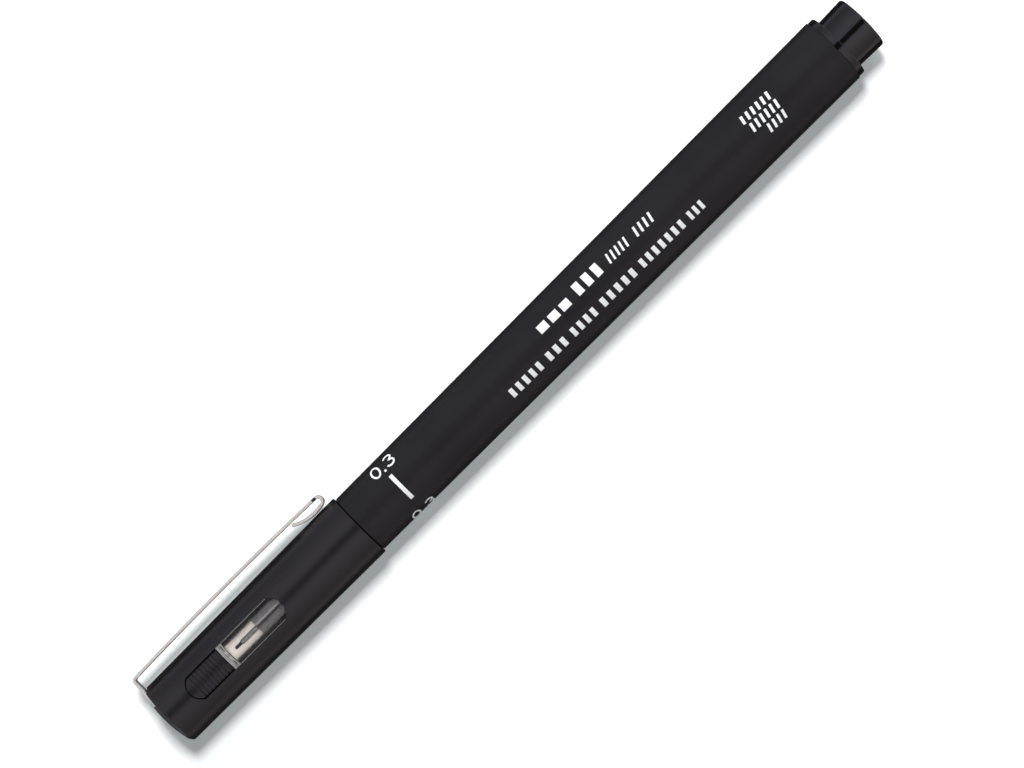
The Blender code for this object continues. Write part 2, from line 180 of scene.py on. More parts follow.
def new_material(name):
    made = bpy.data.materials.new(name)
    made.use_nodes = True
    return made, made.node_tree.nodes, made.node_tree.links, made.node_tree.nodes["Principled BSDF"]


def object_noise(nodes, links, scale, stretch=(1, 1, 1), detail=3.0):
    """Noise in the object's own coordinates, in metres, stretched along some axes."""
    where = nodes.new("ShaderNodeTexCoord")
    mapping = nodes.new("ShaderNodeMapping")
    mapping.inputs["Scale"].default_value = stretch
    noise = nodes.new("ShaderNodeTexNoise")
    noise.inputs["Scale"].default_value = scale
    noise.inputs["Detail"].default_value = detail
    links.new(where.outputs["Object"], mapping.inputs["Vector"])
    links.new(mapping.outputs["Vector"], noise.inputs["Vector"])
    return noise


def vary(nodes, links, noise, socket, low, high):
    """Drives a shader value by noise, between two limits."""
    spread = nodes.new("ShaderNodeMapRange")
    spread.inputs["From Min"].default_value = 0.3
    spread.inputs["From Max"].default_value = 0.7
    spread.inputs["To Min"].default_value = low
    spread.inputs["To Max"].default_value = high
    links.new(noise.outputs["Fac"], spread.inputs["Value"])
    links.new(spread.outputs["Result"], socket)


def vary_colour(nodes, links, noise, socket, first, second):
    ramp = nodes.new("ShaderNodeValToRGB")
    ramp.color_ramp.elements[0].position = 0.35
    ramp.color_ramp.elements[0].color = (*first, 1)
    ramp.color_ramp.elements[1].position = 0.65
    ramp.color_ramp.elements[1].color = (*second, 1)
    links.new(noise.outputs["Fac"], ramp.inputs["Fac"])
    links.new(ramp.outputs["Color"], socket)


def maths(nodes, links, operation, first, second=None):
    """A Math node; each input is a socket or a number."""
    made = nodes.new("ShaderNodeMath")
    made.operation = operation
    for index, value in enumerate((first, second)):
        if isinstance(value, bpy.types.NodeSocket):
            links.new(value, made.inputs[index])
        elif value is not None:
            made.inputs[index].default_value = value
    return made.outputs["Value"]


def smooth_step(nodes, links, value, start, end):
    """1 where the value is past the end, 0 before the start, smooth between."""
    step = nodes.new("ShaderNodeMapRange")
    step.interpolation_type = "SMOOTHSTEP"
    step.inputs["From Min"].default_value = start
    step.inputs["From Max"].default_value = end
    links.new(value, step.inputs["Value"])
    return step.outputs["Result"]


def split_coordinates(nodes, links, kind):
    """X, Y and Z sockets of one of the Texture Coordinate node's outputs."""
    where = nodes.new("ShaderNodeTexCoord")
    split = nodes.new("ShaderNodeSeparateXYZ")
    links.new(where.outputs[kind], split.inputs["Vector"])
    return split.outputs["X"], split.outputs["Y"], split.outputs["Z"]


def add_bump(nodes, links, noise, shader, strength, distance):
    bump = nodes.new("ShaderNodeBump")
    bump.inputs["Strength"].default_value = strength
    bump.inputs["Distance"].default_value = distance
    links.new(noise.outputs["Fac"], bump.inputs["Height"])
    links.new(bump.outputs["Normal"], shader.inputs["Normal"])


def plastic(name, dark, light, rough_low, rough_high, specular, grain, grain_strength):
    """Moulded plastic: a fine grain in the surface, and slow changes in tone and gloss from handling."""
    made, nodes, links, shader = new_material(name)
    slow = object_noise(nodes, links, 90, detail=2)
    vary_colour(nodes, links, slow, shader.inputs["Base Color"], dark, light)
    handled = object_noise(nodes, links, 260, stretch=(0.4, 1, 1), detail=5)
    vary(nodes, links, handled, shader.inputs["Roughness"], rough_low, rough_high)
    fine = object_noise(nodes, links, grain, detail=2)
    add_bump(nodes, links, fine, shader, grain_strength, 0.00002)
    shader.inputs["Specular IOR Level"].default_value = specular
    return made


def steel(name, base, rough_low, rough_high, along, strength, metallic=1.0, painted_line_width=None):
    """Rolled or drawn steel, with fine lines along one axis, and for the tip sleeve a painted dark
    reflection: a dark line painted along its top for the dark overhead mirrored there.
    """
    made, nodes, links, shader = new_material(name)
    lines = object_noise(nodes, links, 9000, stretch=along, detail=4)
    vary_colour(nodes, links, lines, shader.inputs["Base Color"], [c * 0.93 for c in base], base)
    # The dark line along the top is a painted reflection of the dark overhead, not a seam
    if painted_line_width:
        _, y, z = split_coordinates(nodes, links, "Object")
        across = maths(nodes, links, "SUBTRACT", y, AXIS_Y + PAINTED_REFLECTION_OFFSET)
        beside = smooth_step(nodes, links, maths(nodes, links, "ABSOLUTE", across), painted_line_width * 0.5, painted_line_width * 1.6)
        under = smooth_step(nodes, links, z, AXIS_Z + 0.0002, AXIS_Z)
        unpainted = maths(nodes, links, "MAXIMUM", beside, under)
        mix = nodes.new("ShaderNodeMix")
        mix.data_type = "RGBA"
        mix.inputs["A"].default_value = PAINTED_REFLECTION_COLOUR
        links.new(unpainted, mix.inputs["Factor"])
        links.new(shader.inputs["Base Color"].links[0].from_socket, mix.inputs["B"])
        links.new(mix.outputs["Result"], shader.inputs["Base Color"])
    vary(nodes, links, lines, shader.inputs["Roughness"], rough_low, rough_high)
    add_bump(nodes, links, lines, shader, strength, 0.00001)
    shader.inputs["Metallic"].default_value = metallic
    return made


def clear_plastic(name):
    """Clear moulding: milky low in its bore, faintly hazy low on its outside. It lets lamps through."""
    made, nodes, links, shader = new_material(name)
    shader.inputs["Base Color"].default_value = (0.98, 0.94, 0.89, 1)
    shader.inputs["IOR"].default_value = 1.49
    flow = object_noise(nodes, links, 700, stretch=(0.3, 1, 1), detail=1)
    vary(nodes, links, flow, shader.inputs["Roughness"], 0.0, 0.03)
    x, y, z = split_coordinates(nodes, links, "Object")
    across = maths(nodes, links, "SUBTRACT", y, AXIS_Y)
    height = maths(nodes, links, "SUBTRACT", z, AXIS_Z)
    across_squared = maths(nodes, links, "POWER", across, 2.0)
    height_squared = maths(nodes, links, "POWER", height, 2.0)
    squares = maths(nodes, links, "ADD", across_squared, height_squared)
    distance = maths(nodes, links, "SQRT", squares)
    inside = smooth_step(nodes, links, distance, 0.0017, 0.0015)
    below = smooth_step(nodes, links, height, 0.0001, -0.0003)
    milky = maths(nodes, links, "MULTIPLY", inside, below)
    outside = smooth_step(nodes, links, distance, 0.0036, 0.0039)
    flank = smooth_step(nodes, links, height, 0.0012, 0.0)
    ahead = smooth_step(nodes, links, x, tail_low.x + 0.1203, tail_low.x + 0.1209)
    low_outside = maths(nodes, links, "MULTIPLY", outside, flank)
    hazy = maths(nodes, links, "MULTIPLY", low_outside, ahead)
    lost_to_milk = maths(nodes, links, "MULTIPLY", milky, -MILKINESS)
    lost_to_haze = maths(nodes, links, "MULTIPLY", hazy, -HAZE)
    lost = maths(nodes, links, "ADD", lost_to_milk, lost_to_haze)
    links.new(maths(nodes, links, "ADD", lost, CLEARNESS), shader.inputs["Transmission Weight"])
    path = nodes.new("ShaderNodeLightPath")
    open_side = nodes.new("ShaderNodeBsdfTransparent")
    mix = nodes.new("ShaderNodeMixShader")
    links.new(path.outputs["Is Shadow Ray"], mix.inputs["Fac"])
    links.new(shader.outputs["BSDF"], mix.inputs[1])
    links.new(open_side.outputs["BSDF"], mix.inputs[2])
    links.new(mix.outputs["Shader"], nodes["Material Output"].inputs["Surface"])
    return made


def fibre(name, dark, light):
    """Bonded fibres that run along the pen."""
    made, nodes, links, shader = new_material(name)
    strands = object_noise(nodes, links, 9000, stretch=(0.03, 1, 1), detail=4)
    vary_colour(nodes, links, strands, shader.inputs["Base Color"], dark, light)
    add_bump(nodes, links, strands, shader, 0.5, 0.00003)
    shader.inputs["Roughness"].default_value = 0.9
    shader.inputs["Sheen Weight"].default_value = 0.2
    return made


def ink_print(name):
    made, nodes, links, shader = new_material(name)
    mottle = object_noise(nodes, links, 4000, detail=3)
    vary_colour(nodes, links, mottle, shader.inputs["Base Color"], (0.76, 0.78, 0.8), (0.86, 0.87, 0.88))
    shader.inputs["Roughness"].default_value = 0.5
    return made


def film(name):
    made, nodes, links, shader = new_material(name)
    shader.inputs["Base Color"].default_value = (0.92, 0.93, 0.95, 1)
    shader.inputs["Transmission Weight"].default_value = 0.7
    wrinkles = object_noise(nodes, links, 500, stretch=(0.3, 1, 1), detail=3)
    vary(nodes, links, wrinkles, shader.inputs["Roughness"], 0.15, 0.4)
    add_bump(nodes, links, wrinkles, shader, 0.3, 0.0001)
    return made


# ---------------------------------------------------------------- modelling tools


def rounded(corners):
    """A profile from (radius, height, fillet) corners. Points beside each fillet keep long faces flat."""
    points = []
    for index, (r, z, fillet) in enumerate(corners):
        here = Vector((r, z))
        if not fillet:
            points.append(here)
            continue
        before = Vector(corners[index - 1][:2]) - here
        after = Vector(corners[(index + 1) % len(corners)][:2]) - here
        half = before.angle(after) / 2
        run = fillet / math.tan(half)
        centre = here + (before.normalized() + after.normalized()).normalized() * fillet / math.sin(half)
        start = here + before.normalized() * run - centre
        end = here + after.normalized() * run - centre
        sweep = math.atan2(start.x * end.y - start.y * end.x, start.dot(end))
        if before.length > 3 * run:
            points.append(here + before.normalized() * run * 1.3)
        for step in range(FILLET_STEPS + 1):
            points.append(centre + Matrix.Rotation(sweep * step / FILLET_STEPS, 2) @ start)
        if after.length > 3 * run:
            points.append(here + after.normalized() * run * 1.3)
    return points


def arc(centre_r, centre_z, radius, start, end, steps):
    """Points (r, z) along an arc, its angles in degrees from the +r direction towards +z."""
    angles = [math.radians(start + (end - start) * i / steps) for i in range(steps + 1)]
    return [(centre_r + radius * math.cos(a), centre_z + radius * math.sin(a)) for a in angles]


def add_object(name, mesh):
    made = bpy.data.objects.new(name, mesh)
    bpy.context.scene.collection.objects.link(made)
    return made


def apply_modifiers(obj):
    bpy.context.view_layer.update()
    mesh = bpy.data.meshes.new_from_object(obj.evaluated_get(bpy.context.evaluated_depsgraph_get()))
    obj.modifiers.clear()
    obj.data = mesh


def turned(name, profile, closed=True, sides=SIDES):
    """A profile of (radius, height) points turned about Z, running down the outer side."""
    mesh = bpy.data.meshes.new(name)
    count = len(profile)
    edges = [(i, i + 1) for i in range(count - 1)]
    if closed:
        edges.append((count - 1, 0))
    mesh.from_pydata([(r, 0.0, z) for r, z in profile], edges, [])
    made = add_object(name, mesh)
    screw = made.modifiers.new("Screw", "SCREW")
    screw.axis = "Z"
    screw.steps = sides
    screw.render_steps = sides
    screw.use_merge_vertices = True
    screw.merge_threshold = 1e-4
    apply_modifiers(made)
    return made


def mesh_object(name, points, faces):
    mesh = bpy.data.meshes.new(name)
    mesh.from_pydata(points, [], faces)
    shape = bmesh.new()
    shape.from_mesh(mesh)
    bmesh.ops.remove_doubles(shape, verts=shape.verts, dist=1e-5)
    bmesh.ops.recalc_face_normals(shape, faces=shape.faces)
    if shape.calc_volume(signed=True) < 0:
        bmesh.ops.reverse_faces(shape, faces=shape.faces)
    shape.to_mesh(mesh)
    shape.free()
    return add_object(name, mesh)


def combine(obj, operation, other):
    modifier = obj.modifiers.new("Boolean", "BOOLEAN")
    modifier.operation = operation
    modifier.solver = "EXACT"
    modifier.object = other
    apply_modifiers(obj)
    bpy.data.objects.remove(other)


def box(name, low, high):
    mesh = bpy.data.meshes.new(name)
    shape = bmesh.new()
    bmesh.ops.create_cube(shape, size=1.0)
    for vert in shape.verts:
        vert.co = [lo + (c + 0.5) * (hi - lo) for c, lo, hi in zip(vert.co, low, high)]
    shape.to_mesh(mesh)
    shape.free()
    return add_object(name, mesh)


def weight_normals(obj):
    """Lets the large faces set the shading where they meet fillets and cuts."""
    obj.data.shade_smooth()
    obj.data.set_sharp_from_angle(angle=math.radians(32))
    modifier = obj.modifiers.new("Weighted normal", "WEIGHTED_NORMAL")
    modifier.keep_sharp = True
    modifier.weight = 80
    apply_modifiers(obj)


def finish_piece(obj, body, slot, material, *nodes):
    """Shades a piece, lays it down in the pen's place, and ties it to its body."""
    weight_normals(obj)
    obj.data.transform(LAY_DOWN @ Matrix.Scale(MM, 4))
    obj.data.materials.clear()
    obj.data.materials.append(material)
    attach(obj, body)
    if nodes:
        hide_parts(*nodes)
    return obj


# ---------------------------------------------------------------- barrel and tail


def make_barrel(material):
    corners = [
        (NECK_RADIUS, NECK_TOP, 0.2),
        (NECK_RADIUS, SNAP_BEAD + 0.55, 0.1),
        (NECK_RADIUS + 0.07, SNAP_BEAD, 0.3),
        (NECK_RADIUS, SNAP_BEAD - 0.55, 0.1),
        (NECK_RADIUS, BARREL_SHOULDER, 0.12),
        (FRONT_RADIUS, BARREL_SHOULDER, 0.1),
        (TAIL_RADIUS, BARREL_TAIL, 0.06),
        (PLUG_RADIUS + CLEARANCE, BARREL_TAIL, 0.05),
        (PLUG_RADIUS + CLEARANCE, 11.95, 0),
        (4.3, 12.1, 0),
        (3.95, 98.5, 0),
        (3.45, 98.6, 0),
        (3.45, NECK_TOP, 0.05),
    ]
    return finish_piece(turned("barrel_tube", rounded(corners)), "pen", "satin_black", material, "barrel")


def make_end_plug(material):
    """The glossy plug: a spigot with a rounded rim, a flange, and a hollow skirt inside the barrel."""
    corners = [
        (0.0, 1.2, 0),
        (3.5, 1.2, 0.3),
        (3.5, 11.9, 0.1),
        (PLUG_RADIUS, 11.9, 0.2),
        (PLUG_RADIUS, BARREL_TAIL - 0.04, 0),
        (FLANGE_RADIUS, BARREL_TAIL - 0.04, 0.03),
        (FLANGE_RADIUS, FLANGE_BOTTOM, 0.2),
        (SPIGOT_ROOT, FLANGE_BOTTOM, 0.12),
        (SPIGOT_TIP, 0.0, 0.38),
        (0.0, 0.0, 0),
    ]
    plug = turned("tail_plug", rounded(corners), closed=False)
    for size in ((0.8, 7.4), (7.4, 0.8)):
        fin = box("fin", (-size[0] / 2, -size[1] / 2, 0.8), (size[0] / 2, size[1] / 2, 11.0))
        combine(plug, "UNION", fin)
    stop = box("fin_stop", (-0.4, -1.75, 2.0), (0.4, 1.75, 14.2))
    combine(plug, "UNION", stop)
    return finish_piece(plug, "pen", "gloss_black", material, "end_plug")


# ---------------------------------------------------------------- nib unit and ink store


def make_front_section(material):
    corners = [
        (SLEEVE_RADIUS + CLEARANCE, 114.8, 0),
        (2.05, 114.8, 0.15),
        (2.95, 110.2, 0.5),
        (3.1, 109.3, 0.2),
        (3.95, 108.8, 0.2),
        (3.95, NECK_TOP + CLEARANCE, 0.05),
        (3.4, NECK_TOP + CLEARANCE, 0),
        (3.4, 98.0, 0.2),
        (1.1, 98.0, 0),
        (1.1, SLEEVE_SEAT - CLEARANCE, 0),
        (SLEEVE_RADIUS + CLEARANCE, SLEEVE_SEAT - CLEARANCE, 0),
    ]
    piece = turned("nose_section", rounded(corners))
    return finish_piece(piece, "pen", "satin_black", material, "front_section")


def make_tip_sleeve(material):
    inner = SLEEVE_RADIUS - 0.2
    hole = TUBE_RADIUS + CLEARANCE
    corners = [
        (hole, SLEEVE_TOP, 0.03),
        (SLEEVE_RADIUS, SLEEVE_TOP, 0.16),
        (SLEEVE_RADIUS, SLEEVE_SEAT, 0.04),
        (inner, SLEEVE_SEAT, 0),
        (inner, SLEEVE_TOP - 0.2, 0),
        (hole, SLEEVE_TOP - 0.2, 0),
    ]
    piece = turned("steel_sleeve", rounded(corners), sides=96)
    return finish_piece(piece, "pen", "steel", material, "tip_sleeve")


def make_nib_tube(material):
    corners = [
        (TUBE_BORE, TUBE_TOP, 0.02),
        (TUBE_RADIUS - 0.04, TUBE_TOP, 0.05),
        (TUBE_RADIUS, TUBE_TOP - 0.3, 0.1),
        (TUBE_RADIUS, TUBE_BACK, 0),
        (TUBE_BORE, TUBE_BACK, 0),
    ]
    return finish_piece(
        turned("fine_tube", rounded(corners), sides=64), "pen", "steel", material, "nib_tube"
    )


def make_nib(material):
    dome = arc(0.0, NIB_TIP - 0.24, 0.24, 90, 0, 8)
    dome[0] = (0.0, NIB_TIP)
    profile = [*dome, (NIB_RADIUS, NIB_BACK), (0.0, NIB_BACK)]
    piece = turned("writing_nib", profile, closed=False, sides=48)
    return finish_piece(piece, "pen", "nib_plastic", material, "nib")


# ---------------------------------------------------------------- cap


def shell_radius(z):
    """The cap's outer radius at a height: it tapers from the mouth to the corner of its closed end."""
    share = (z - CAP_MOUTH) / (CAP_CORNER - CAP_MOUTH)
    return MOUTH_RADIUS + (END_RADIUS - MOUTH_RADIUS) * share


def window_outline(grow=0.0, steps=20):
    """The window as (y, z) points: straight sides, and ends that are arcs of a slightly larger circle."""
    half = WINDOW_HALF + grow
    radius = WINDOW_ROUND + grow
    sweep = math.degrees(math.asin(half / radius))
    high = arc(0.0, WINDOW_HIGH - WINDOW_ROUND, radius, 90 - sweep, 90 + sweep, steps)
    low = arc(0.0, WINDOW_LOW + WINDOW_ROUND, radius, 270 - sweep, 270 + sweep, steps)
    return high + low


def window_cutter(side):
    """A plug through one wall of the shell, with a rounded lip that follows the shell's surface."""
    levels = []
    for angle in (0, 25, 50, 72):
        lean = math.radians(angle)
        levels.append((-WINDOW_LIP * (1 - math.sin(lean)), WINDOW_LIP * (1 - math.cos(lean))))
    rise = 0.05
    above = (levels[-1][0] + rise, levels[-1][1] + rise * math.tan(math.radians(72)))
    points = [(side * 3.0, y, z) for y, z in window_outline()]
    for depth, grow in (*levels, above):
        for y, z in window_outline(grow):
            points.append((side * math.sqrt((shell_radius(z) + depth) ** 2 - y**2), y, z))
    points += [(side * 6.5, y, z) for y, z in window_outline(above[1])]
    ring = len(window_outline())
    last = len(points) - ring
    faces = [list(range(ring)), list(range(last, last + ring))]
    for start in range(0, last, ring):
        for i in range(ring):
            j = (i + 1) % ring
            faces.append([start + i, start + j, start + ring + j, start + ring + i])
    return mesh_object("window_cutter", points, faces)


def shelf_cutter():
    """The step across the crown under the clip's arm, cut from the shell and the crown alike."""
    return box("shelf_cutter", (-10, -10, SHELF), (10, -SHELF_EDGE, 150))


def make_cap_shell(material):
    corners = [
        (BORE_END, CAP_RIM, 0.03),
        (BORE_END + 0.14, CAP_RIM, 0.1),
        (END_RADIUS, CAP_CORNER, 0.4),
        (MOUTH_RADIUS, CAP_MOUTH, 0.08),
        (BORE_MOUTH, CAP_MOUTH, 0.18),
        (BORE_MOUTH, NECK_TOP, 0),
    ]
    shell = turned("cap_tube", rounded(corners))
    for side in (-1, 1):
        combine(shell, "DIFFERENCE", window_cutter(side))
    combine(shell, "DIFFERENCE", box("notch_cutter", (-POCKET_HALF, -10, 137.65), (POCKET_HALF, -3.7, 140)))
    combine(shell, "DIFFERENCE", shelf_cutter())
    return finish_piece(shell, "cap", "satin_black", material, "cap_shell")


def rib_radius(z):
    """The pad's radius: shallow rounded grooves, from its inner end to the last rib."""
    along = (z - CORE_BACK) / RIB_PITCH
    if not 0 < along < RIB_COUNT:
        return PAD_RADIUS
    return PAD_RADIUS - RIB_DEPTH * math.sin(math.pi * (along % 1)) ** 4


def make_pad(side, material):
    """A ribbed pad that fills the closed end of one window, its outline rounded over."""
    half = WINDOW_HALF - PAD_GAP
    radius = WINDOW_ROUND - PAD_GAP
    centre = WINDOW_HIGH - WINDOW_ROUND
    turn = centre + math.sqrt(radius**2 - half**2)
    top = centre + radius
    rows = 240
    columns = 28
    points = []
    for row in range(rows + 1):
        z = CORE_BACK + (top - CORE_BACK) * row / rows
        width = half if z < turn else math.sqrt(max(radius**2 - (z - centre) ** 2, 0.0))
        width = max(width, 0.02)
        for column in range(columns + 1):
            share = math.sin(math.pi * (column / columns - 0.5))
            y = width * share
            edge = min(width - abs(y), top - z, z - CORE_BACK + 0.06)
            lip = max(PAD_LIP - edge, 0.0)
            drop = PAD_LIP - math.sqrt(max(PAD_LIP**2 - lip**2, 0.0))
            x = math.sqrt((rib_radius(z) - drop) ** 2 - y**2)
            points.append((side * x, y, z))
        points.append((side * 3.6, width, z))
        points.append((side * 3.6, -width, z))
    ring = columns + 3
    faces = []
    for row in range(rows):
        for column in range(ring):
            a = row * ring + column
            b = row * ring + (column + 1) % ring
            faces.append([a, b, b + ring, a + ring])
    faces.append(list(range(ring)))
    faces.append(list(range(rows * ring, (rows + 1) * ring)))
    name = "window_pad_up" if side < 0 else "window_pad_down"
    return finish_piece(mesh_object(name, points, faces), "cap", "satin_black", material)


def make_cap_core(material):
    """The plug in the cap's closed end: a domed crown, with a shelf and a pocket for the clip."""
    height = PEN_END - CROWN_RIM
    radius = (CORE_RADIUS**2 + height**2) / (2 * height)
    half_angle = math.degrees(math.asin(CORE_RADIUS / radius))
    crown = arc(0.0, PEN_END - radius, radius, 90, 90 - half_angle, 12)
    crown[0] = (0.0, PEN_END)
    rim = crown[-1]
    profile = [
        *crown[:-1],
        (rim[0] - 0.08, rim[1] + 0.01),
        (rim[0] - 0.02, rim[1] - 0.02),
        (rim[0], rim[1] - 0.08),
        (CORE_RADIUS, 136.0),
        (CORE_RADIUS, CORE_BACK),
        (3.0, CORE_BACK),
        (3.0, 135.4),
        (0.0, 135.4),
    ]
    core = turned("cap_crown", profile, closed=False)
    combine(core, "DIFFERENCE", shelf_cutter())
    tongue_face = TONGUE_DISTANCE - STRIP_THICKNESS / 2 - CLEARANCE
    low = (-POCKET_HALF, -10, TONGUE_BACK - 0.12)
    high = (POCKET_HALF, -tongue_face, 150)
    combine(core, "DIFFERENCE", box("tongue_cutter", low, high))
    return finish_piece(core, "cap", "satin_black", material, "cap_core")


def make_cap_liner(material):
    corners = [
        (0.0, LINER_TOP, 0),
        (LINER_RADIUS, LINER_TOP, 0.08),
        (LINER_RADIUS, LINER_TOP - 0.6, 0.03),
        (LINER_RADIUS - 0.18, LINER_TOP - 0.69, 0.03),
        (LINER_RADIUS, LINER_TOP - 0.78, 0.03),
        (LINER_RADIUS, LINER_BACK, 0.12),
        (3.5, LINER_BACK, 0.1),
        (3.2, 110.2, 0),
        (2.2, LINER_STEP, 0),
        (LINER_BORE, LINER_STEP, 0.1),
        (LINER_BORE, LINER_BORE_TOP, 0.2),
        (0.0, LINER_BORE_TOP, 0),
    ]
    piece = turned("clear_liner", rounded(corners), closed=False)
    return finish_piece(piece, "liner", "clear", material, "cap_liner")


# ---------------------------------------------------------------- clip


def strip(name, path):
    """A rolled strip with rounded edges that follows a path of (distance, z) points on the clip's side."""
    half = STRIP_WIDTH / 2
    thick = STRIP_THICKNESS / 2
    section = []
    for sign_x, sign_n, first in ((1, 1, 0), (-1, 1, 90), (-1, -1, 180), (1, -1, 270)):
        for step in range(6):
            angle = math.radians(first + 18 * step)
            section.append(
                (
                    sign_x * (half - STRIP_EDGE) + STRIP_EDGE * math.cos(angle),
                    sign_n * (thick - STRIP_EDGE) + STRIP_EDGE * math.sin(angle),
                )
            )
    points = []
    count = len(path)
    for index, (distance, z) in enumerate(path):
        before = path[max(index - 1, 0)]
        after = path[min(index + 1, count - 1)]
        along = Vector((after[0] - before[0], after[1] - before[1])).normalized()
        across = Vector((-along.y, along.x))
        for x, n in section:
            points.append((x, -(distance + across.x * n), z + across.y * n))
    ring = len(section)
    faces = [list(range(ring)), list(range((count - 1) * ring, count * ring))]
    for index in range(count - 1):
        for i in range(ring):
            j = (i + 1) % ring
            faces.append([index * ring + i, index * ring + j, (index + 1) * ring + j, (index + 1) * ring + i])
    return mesh_object(name, points, faces)


def make_clip_root(material):
    bend = arc(TONGUE_DISTANCE + ROOT_BEND, ARM_HEIGHT - ROOT_BEND, ROOT_BEND, 180, 90, 8)
    path = [(TONGUE_DISTANCE, TONGUE_BACK), *bend, (ROOT_END, ARM_HEIGHT)]
    return finish_piece(strip("clip_tongue", path), "cap", "steel", material, "clip_root")


def clip_path():
    """The clip's centre line: out from the cap, along it with a slight bow, and round the curled end."""
    bend = arc(RUN_DISTANCE - ARM_BEND, ARM_HEIGHT - ARM_BEND, ARM_BEND, 90, 0, 12)
    run_start = ARM_HEIGHT - ARM_BEND
    run = []
    for step in range(1, 40):
        share = step / 40
        bow = 4 * RUN_BOW * share * (1 - share)
        run.append((RUN_DISTANCE + bow, run_start + (RUN_END - run_start) * share))
    sweep_back = math.degrees(math.asin((CURL_CONTACT - CURL_START) / CURL_RADIUS))
    sweep_up = math.degrees(math.asin((CURL_END - CURL_CONTACT) / CURL_RADIUS))
    tail = arc(
        CURL_DISTANCE + CURL_RADIUS, CURL_CONTACT, CURL_RADIUS, 180 + sweep_back, 180 - sweep_up, 20
    )
    inner = tail[0][0]
    roll_radius = (RUN_DISTANCE - inner) / 2
    roll = arc(inner + roll_radius, RUN_END, roll_radius, 0, -165, 24)
    return [(ARM_START, ARM_HEIGHT), *bend, *run, *roll, *tail[1:]]


def make_clip_arm(material, painted_notch_shade):
    """The clip's arm, with a small notch cut in each edge where the curl begins, its faces painted dark as
    shade.
    """
    arm = strip("pocket_clip", clip_path())
    profile = [(0.0, 1.0), (NOTCH_RADIUS, 1.0), (NOTCH_RADIUS, -0.6), (0.0, -0.6)]
    for side in (-1, 1):
        notch = turned("notch", profile, closed=False, sides=32)
        notch.data.transform(Matrix.Rotation(math.pi / 2, 4, "X"))
        notch.data.transform(Matrix.Translation((side * STRIP_WIDTH / 2, -RUN_DISTANCE, NOTCH_AT)))
        combine(arm, "DIFFERENCE", notch)
    finish_piece(arm, "clip", "steel", material, "clip_arm")
    arm.data.materials.append(painted_notch_shade)
    notch_x = tail_low.x + NOTCH_AT * MM
    near_notch = (NOTCH_RADIUS + 0.01) * MM
    inside_edge = (STRIP_WIDTH / 2 - 0.02) * MM
    # The notch's faces take the dark steel: painted shade in the notch
    for face in arm.data.polygons:
        beside = abs(face.center.x - notch_x) < near_notch and face.center.y < AXIS_Y - 6.6 * MM
        if beside and abs(face.center.z - AXIS_Z) < inside_edge and abs(face.normal.y) < 0.5:
            face.material_index = 1
    return arm


# ---------------------------------------------------------------- print


def barrel_radius(z):
    share = (z - BARREL_TAIL) / (BARREL_SHOULDER - BARREL_TAIL)
    return TAIL_RADIUS + (FRONT_RADIUS - TAIL_RADIUS) * share


def on_barrel(around, z, height):
    """A point on the barrel: around is the arc length there from the top, away from the clip."""
    radius = barrel_radius(z)
    angle = around / radius
    distance = radius + height
    return (-distance * math.cos(angle), distance * math.sin(angle), z)


def ribbon(line, width, loop=False):
    """Left and right edge points of a stroke that follows a line of (around, z) points."""
    rows = []
    count = len(line)
    for index, point in enumerate(line):
        before = line[index - 1] if loop or index else point
        after = line[(index + 1) % count] if loop or index < count - 1 else point
        along = Vector((after[0] - before[0], after[1] - before[1])).normalized()
        side = Vector((-along.y, along.x)) * width / 2
        rows.append(((point[0] + side.x, point[1] + side.y), (point[0] - side.x, point[1] - side.y)))
    return rows


def add_stroke(points, faces, line, width, loop=False):
    """Adds one closed, curved slab of ink."""
    rows = ribbon(line, width, loop)
    base = len(points)
    for left, right in rows:
        for height in (PRINT_HEIGHT, PRINT_HEIGHT - INK_THICKNESS * 2):
            points.append(on_barrel(*left, height))
            points.append(on_barrel(*right, height))
    count = len(rows)
    steps = count if loop else count - 1
    for i in range(steps):
        a = base + 4 * i
        b = base + 4 * ((i + 1) % count)
        faces.append([a, a + 1, b + 1, b])
        faces.append([a + 2, b + 2, b + 3, a + 3])
        faces.append([a, b, b + 2, a + 2])
        faces.append([a + 1, a + 3, b + 3, b + 1])
    if not loop:
        last = base + 4 * (count - 1)
        faces.append([base, base + 2, base + 3, base + 1])
        faces.append([last, last + 1, last + 3, last + 2])


def straight(start, end, steps=8):
    return [
        (start[0] + (end[0] - start[0]) * i / steps, start[1] + (end[1] - start[1]) * i / steps)
        for i in range(steps + 1)
    ]


def ellipse(centre, half_around, half_along, start, end, steps=28):
    """Points on an ellipse, its angles in degrees from the side nearest the tail towards the clip."""
    angles = [math.radians(start + (end - start) * i / steps) for i in range(steps + 1)]
    return [
        (centre[0] - half_around * math.sin(a), centre[1] - half_along * math.cos(a)) for a in angles
    ]


